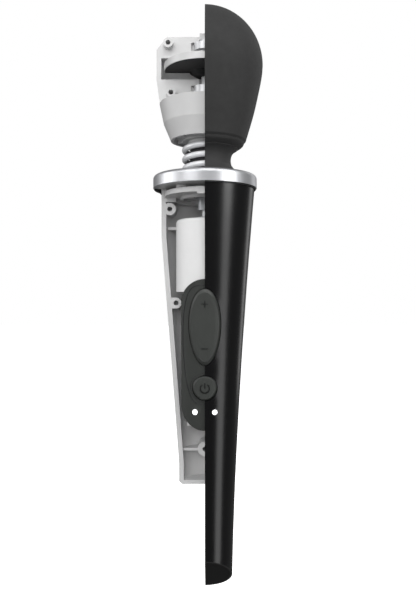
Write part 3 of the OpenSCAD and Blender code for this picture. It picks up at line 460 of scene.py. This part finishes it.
boot_low = bellows("drive_boot_low", pivot_low - 6.2, neck_mid)
boot_high = bellows("drive_boot_high", neck_mid, hub_z - 2.5)
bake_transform(boot_low)
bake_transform(boot_high)
for piece in (boot_low, boot_high):
    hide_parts("drive_boot")
print("boot radius", BOOT_R, "mm")

# %% [markdown]
# ## Neck spring
#
# The spring is wound from 3.2 mm wire. Spinning a circle while it climbs gives the helix in one
# operator. It is made in two lengths, for the same reason as the sleeve, and they share the
# angle at which they meet, so the wire runs on without a step.

# %% Neck spring, two lengths
WIRE_R = 1.6
COIL_R = high("neck_spring_lower", 0) - WIRE_R
PITCH = 5.2
coil_turn_z = low("neck_spring_lower") - 0.35


def coil(name, z0, z1, node):
    """A length of coil between two heights, right-handed, in millimetres."""
    turns = (z1 - z0) / PITCH
    steps = math.ceil(turns * 48)
    bm = bmesh.new()
    wire = bmesh.ops.create_circle(bm, segments=20, radius=WIRE_R * MM, cap_ends=False)["verts"]
    lean = math.atan(PITCH / (2 * math.pi * COIL_R))
    bmesh.ops.rotate(bm, verts=wire, matrix=Matrix.Rotation(math.pi / 2 + lean, 3, "X"))
    bmesh.ops.translate(bm, verts=wire, vec=(COIL_R * MM, 0, z0 * MM))
    first = 2 * math.pi * (z0 - coil_turn_z) / PITCH
    bmesh.ops.rotate(bm, verts=wire, matrix=Matrix.Rotation(first, 3, "Z"))
    bmesh.ops.spin(bm, geom=wire + list(bm.edges), axis=(0, 0, 1), cent=(0, 0, 0),
                   dvec=(0, 0, (z1 - z0) * MM / steps), angle=2 * math.pi * turns, steps=steps)
    bmesh.ops.holes_fill(bm, edges=[e for e in bm.edges if e.is_boundary], sides=0)
    piece = keep(name, bm, spring_wire)
    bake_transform(piece)
    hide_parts(node)
    return piece


spring_low = coil("spring_low_coil", low("neck_spring_lower") + 1.7, neck_mid,
                  "neck_spring_lower")
spring_high = coil("spring_high_coil", neck_mid, hub_z - 1.7,
                   "neck_spring_upper")
print("coil radius", round(COIL_R, 2), "mm")

# %% [markdown]
# ## Painted shade under the weight
#
# A thin black half disc and a rounded black hub sit on the weight's underside, so from below it
# looks almost black while the rim stays bright. Both are painted shade: the half disc is a black
# sheet laid on the underside, and the hub's bump is given the same black. The pad is half a disc
# and the hub is a full ring: both are turned sections, and the half disc is then turned to face
# the buttons.

# %% Painted shade pad and hub under the weight
weight_z = low("eccentric_weight")
weight_r = high("eccentric_weight", 0)
shaft_r = high("head_shaft", 0)
# A thin black sheet and a black hub paint the shade on the weight's underside.
pad = turned("painted_shade_pad", [(shaft_r + 0.1, weight_z), (weight_r - 0.5, weight_z),
                            (weight_r - 0.6, weight_z - 0.3), (shaft_r + 0.1, weight_z - 0.3)],
             black_rubber_and_painted_shade)
pad.data.transform(Matrix.Rotation(-math.pi / 2, 4, "Z"))
hub_section = [(8.4, weight_z - 0.3), (7.2, weight_z - 1.1), (5.6, weight_z - 2.1),
               (4, weight_z - 2.6), (shaft_r + 0.1, weight_z - 2.7),
               (shaft_r + 0.1, weight_z - 0.3)]
hub = turned("weight_hub_painted_shade", hub_section, black_rubber_and_painted_shade, half=False)
for piece in (pad, hub):
    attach(piece, "head_rotor")
print("pad under the weight at", round(weight_z, 1), "mm")

# %% [markdown]
# ## Button caps
#
# Each cap follows the round of the handle and has a sloped edge. Circles are stretched into egg
# shapes, each smaller than the last, and laid along the handle's surface with faces between
# them. The outer ones lie lower, which makes the slope. An extrusion gives the cap its depth,
# and a wider flange behind the keypad keeps the cap in and the light out.

# %% Rocker and power caps
def egg(half_w, half_l, turn, fullness=1.0):
    """A point on an egg outline, widest a little above its middle; below 1 it is fuller."""
    across = math.copysign(abs(math.cos(turn)) ** fullness, math.cos(turn))
    return half_w * across * (1 + 0.08 * math.sin(turn)), half_l * math.sin(turn)


def surface_y(x, z, lift):
    """How far forward the handle's skin lies at a place, plus a lift, as a negative Y."""
    return -math.sqrt((casing_r(z) + lift) ** 2 - x * x)


CAP_DEPTH = 4.5
FLANGE, FLANGE_DEPTH, FLANGE_T = 1.2, 4.4, 0.75
EDGE_SINK = 0.25


def follow(bm, middle_z, steps):
    """A face of egg-shaped rings along the casing; a step is half width, half length, lift."""
    outer, faces = None, []
    for half_w, half_l, lift in steps:
        ring = bmesh.ops.create_circle(bm, segments=ROUND, radius=1)["verts"]
        for v in ring:
            x, z = egg(half_w, half_l, math.atan2(v.co.y, v.co.x))
            v.co = (x * MM, surface_y(x, z + middle_z, lift) * MM, (z + middle_z) * MM)
        if outer:
            faces += [bm.faces.new((outer[i - 1], outer[i], ring[i], ring[i - 1]))
                      for i in range(ROUND)]
        outer = ring
    return faces + [bm.faces.new(outer)]


def thicken(bm, faces, depth):
    """Gives a face a back and sides, in millimetres."""
    made = bmesh.ops.extrude_face_region(bm, geom=faces, use_keep_orig=True)["geom"]
    bmesh.ops.translate(bm, verts=[v for v in made if isinstance(v, bmesh.types.BMVert)],
                        vec=(0, depth * MM, 0))


def cap(name, half_w, half_l, middle_z, lift, rolled, side, body, node):
    """A button cap with a sloped edge, narrower by side at its flanks, in millimetres."""
    insets = ([rolled * k / 4 for k in range(5)]
              + [rolled + (half_w - rolled) * k / 5 for k in range(1, 5)])
    bm = bmesh.new()
    thicken(bm, follow(bm, middle_z, [
        (half_w - inset * side, half_l - inset,
         lift - (lift + EDGE_SINK) * max(0.0, 1 - inset / rolled)) for inset in insets]),
        CAP_DEPTH)
    thicken(bm, follow(bm, middle_z, [
        ((half_w + FLANGE) * (1 - k / 6), (half_l + FLANGE) * (1 - k / 6), -FLANGE_DEPTH)
        for k in range(6)]), FLANGE_T)
    piece = keep(name, bm, button_abs, crease=14)
    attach(piece, body)
    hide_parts(node)
    return piece


rocker_half_w = high("rocker_button", 0) - FLANGE
rocker_half_l = (high("rocker_button") - low("rocker_button")) / 2 - FLANGE
rocker_z = (high("rocker_button") + low("rocker_button")) / 2
power_r = high("power_button", 0) - FLANGE
power_z = (high("power_button") + low("power_button")) / 2
ROCKER_PROUD, POWER_PROUD = 0.8, 0.5
cap("rocker_cap", rocker_half_w, rocker_half_l, rocker_z, ROCKER_PROUD, 1.8, 0.45,
    "rocker", "rocker_button")
cap("power_cap", power_r, power_r, power_z, POWER_PROUD, 0.7, 1,
    "power", "power_button")
print("caps", round(rocker_half_w, 2), round(rocker_half_l, 2), round(power_r, 2), "mm")

# %% [markdown]
# ## Bead lines on the keypad
#
# A fine dark line runs round both buttons on the keypad, and a fainter one round the power
# button alone. A closed curve with a round bevel is the quickest way to make a thin line that
# lies on a curved face.

# %% Bead lines
KEYPAD_DEPTH = 1.1


def bead(name, half_w, half_l, middle_z, wire, fullness=1.0):
    """A raised line on the keypad's face, in millimetres."""
    line = bpy.data.curves.new(name, "CURVE")
    line.dimensions = "3D"
    line.bevel_depth = wire * MM
    line.bevel_resolution = 2
    spline = line.splines.new("POLY")
    spline.points.add(ROUND - 1)
    spline.use_cyclic_u = True
    for i, point in enumerate(spline.points):
        x, z = egg(half_w, half_l, 2 * math.pi * i / ROUND, fullness)
        z += middle_z
        point.co = (x * MM, surface_y(x, z, -KEYPAD_DEPTH) * MM, z * MM, 1)
    piece = bpy.data.objects.new(name, line)
    bpy.context.scene.collection.objects.link(piece)
    line.materials.append(black_moulding)
    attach(piece, "handle")


KEYPAD_MIDDLE = 23.9
bead("keypad_bead", 11.5, 31.2, KEYPAD_MIDDLE, 0.2, fullness=0.5)
bead("power_bead", 7.6, 7.6, power_z, 0.1)
print("bead lines at depth", KEYPAD_DEPTH, "mm")

# %% [markdown]
# ## Marks on the buttons
#
# A plus, a minus and a power sign are printed on the caps, each standing a hair proud. Flat
# bars with rounded corners make the first two. The power sign is a short bar and an open ring,
# which is a small rectangle spun through most of a turn about the button's own axis.

# %% Plus, minus and power signs
def bar(bm, x, z, wide, tall, front, deep=0.9):
    """A rounded flat bar whose front face is at -front, in millimetres."""
    made = bmesh.ops.create_cube(bm, size=1)["verts"]
    bmesh.ops.scale(bm, verts=made, vec=(wide * MM, deep * MM, tall * MM))
    bmesh.ops.translate(bm, verts=made, vec=(x * MM, -(front - deep / 2) * MM, z * MM))
    corners = [e for e in {e for v in made for e in v.link_edges}
               if abs((e.verts[0].co - e.verts[1].co).normalized().y) > 0.9]
    bmesh.ops.bevel(bm, geom=corners, offset=min(wide, tall) * 0.3 * MM, offset_type="OFFSET",
                    affect="EDGES", segments=3, profile=0.5, material=-1)


INK = 0.06
STROKE, SIGN = 0.45, 3.6
rocker_signs = bmesh.new()
plus_z, minus_z = 45.3, 22.1
plus_front = casing_r(plus_z) + ROCKER_PROUD + INK
minus_front = casing_r(minus_z) + ROCKER_PROUD + INK
bar(rocker_signs, 0, plus_z, SIGN, STROKE, plus_front)
bar(rocker_signs, 0, plus_z, STROKE, SIGN, casing_r(plus_z + SIGN / 2) + ROCKER_PROUD + INK)
bar(rocker_signs, 0, minus_z, SIGN, STROKE, minus_front)
rocker_marks = keep("rocker_signs", rocker_signs, icon_ink)
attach(rocker_marks, "rocker")

power_front = casing_r(power_z) + POWER_PROUD + INK
power_sign = bmesh.new()
POWER_STROKE, RING_R, GAP = 0.62, 2.35, math.radians(66)
BAR = 2.9
bar(power_sign, 0, power_z + BAR / 2, POWER_STROKE, BAR,
    casing_r(power_z + BAR) + POWER_PROUD + INK)
corner = [(RING_R - POWER_STROKE / 2, -0.1), (RING_R + POWER_STROKE / 2, -0.1),
          (RING_R + POWER_STROKE / 2, 0.9), (RING_R - POWER_STROKE / 2, 0.9)]
start_ring = [power_sign.verts.new((0, (-power_front + y) * MM, (power_z + r) * MM))
              for r, y in corner]
start_edges = [power_sign.edges.new((start_ring[i], start_ring[(i + 1) % 4])) for i in range(4)]
bmesh.ops.rotate(power_sign, verts=start_ring, cent=(0, 0, power_z * MM),
                 matrix=Matrix.Rotation(GAP / 2, 3, "Y"))
bmesh.ops.spin(power_sign, geom=start_ring + start_edges, axis=(0, 1, 0),
               cent=(0, 0, power_z * MM), angle=2 * math.pi - GAP, steps=40)
bmesh.ops.holes_fill(power_sign, edges=[e for e in power_sign.edges if e.is_boundary], sides=0)
power_mark = keep("power_sign", power_sign, icon_ink)
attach(power_mark, "power")
print("signs at", plus_z, minus_z, round(power_z, 1), "mm")

# %% [markdown]
# ## Studio
#
# The background is plain white. The skins are dark and shiny, so what they reflect matters more
# than what lights them: one tall soft light on the right draws the long highlight down the
# handle. The open left half is lit from the front and, more weakly, from the left. The two
# fills leave no reflection, so they lift the shade without marking the gloss.

# %% Lights and world
def softbox(name, place, aim, size, watts, tall=None):
    """A white rectangular light, aimed at a point, with its sizes in metres."""
    light = bpy.data.lights.new(name, "AREA")
    light.shape = "RECTANGLE"
    light.size, light.size_y = size, tall or size
    light.energy = watts
    lamp = bpy.data.objects.new(name, light)
    bpy.context.scene.collection.objects.link(lamp)
    lamp.location = place
    lamp.rotation_euler = (Vector(aim) - Vector(place)).to_track_quat("-Z", "Y").to_euler()
    return lamp


softbox("front_left", (-0.7, -1.1, 0.75), (0, 0, 0.05), 0.8, 7)
softbox("front_high", (0.15, -1.0, 1.15), (0, 0, 0.08), 0.6, 7)
softbox("right_tall", (0.98, -0.72, 0.6), (0, 0, 0.08), 0.5, 10, tall=1.1)
right_low = softbox("right_low", (0.98, -0.72, -0.45), (0, 0, -0.05), 0.5, 3.5, tall=1.0)
right_low.visible_diffuse = False
softbox("right_back", (0.95, 0.95, 0.4), (0, 0, 0.08), 0.4, 1.8, tall=1.4)
softbox("left_fill", (-1.2, -0.1, 0.3), (0, 0, 0.05), 0.8, 5)
front_fill = softbox("front_fill", (-0.05, -1.2, 0.35), (0, 0, 0.0), 0.7, 7)
foot_fill = softbox("foot_fill", (-0.12, -0.5, -0.12), (0, 0, -0.06), 0.15, 0.35)
for lamp in (front_fill, foot_fill):
    lamp.visible_glossy = False

world = bpy.data.worlds.new("studio")
bpy.context.scene.world = world
world.use_nodes = True
sky = world.node_tree
sky.nodes.clear()
seen = add(sky, "ShaderNodeLightPath")
white = add(sky, "ShaderNodeBackground", {"Color": linear("#FFFFFF"), "Strength": 1.0})
soft = add(sky, "ShaderNodeBackground", {"Color": linear("#FFFFFF"), "Strength": 0.13})
both = add(sky, "ShaderNodeMixShader", {0: seen.outputs["Is Camera Ray"],
                                        1: soft.outputs["Background"],
                                        2: white.outputs["Background"]})
add(sky, "ShaderNodeOutputWorld", {"Surface": both.outputs["Shader"]})
bpy.context.scene.view_settings.view_transform = "Standard"

floor_mesh = bpy.data.meshes.new("floor")
bm = bmesh.new()
bmesh.ops.create_grid(bm, x_segments=1, y_segments=1, size=4)
bmesh.ops.translate(bm, verts=bm.verts, vec=(0, 0, (tip_z - 40) * MM))
bm.to_mesh(floor_mesh)
bm.free()
floor = bpy.data.objects.new("floor", floor_mesh)
bpy.context.scene.collection.objects.link(floor)
floor_white = finish("floor_white", "#FFFFFF", 0.9, grain=5, grain_depth=0.01,
                     **{"Emission Color": linear("#FFFFFF"), "Emission Strength": 1.0})
floor.data.materials.append(floor_white)
floor.visible_glossy = False
floor.visible_diffuse = False
print("lights", len(bpy.data.lights))
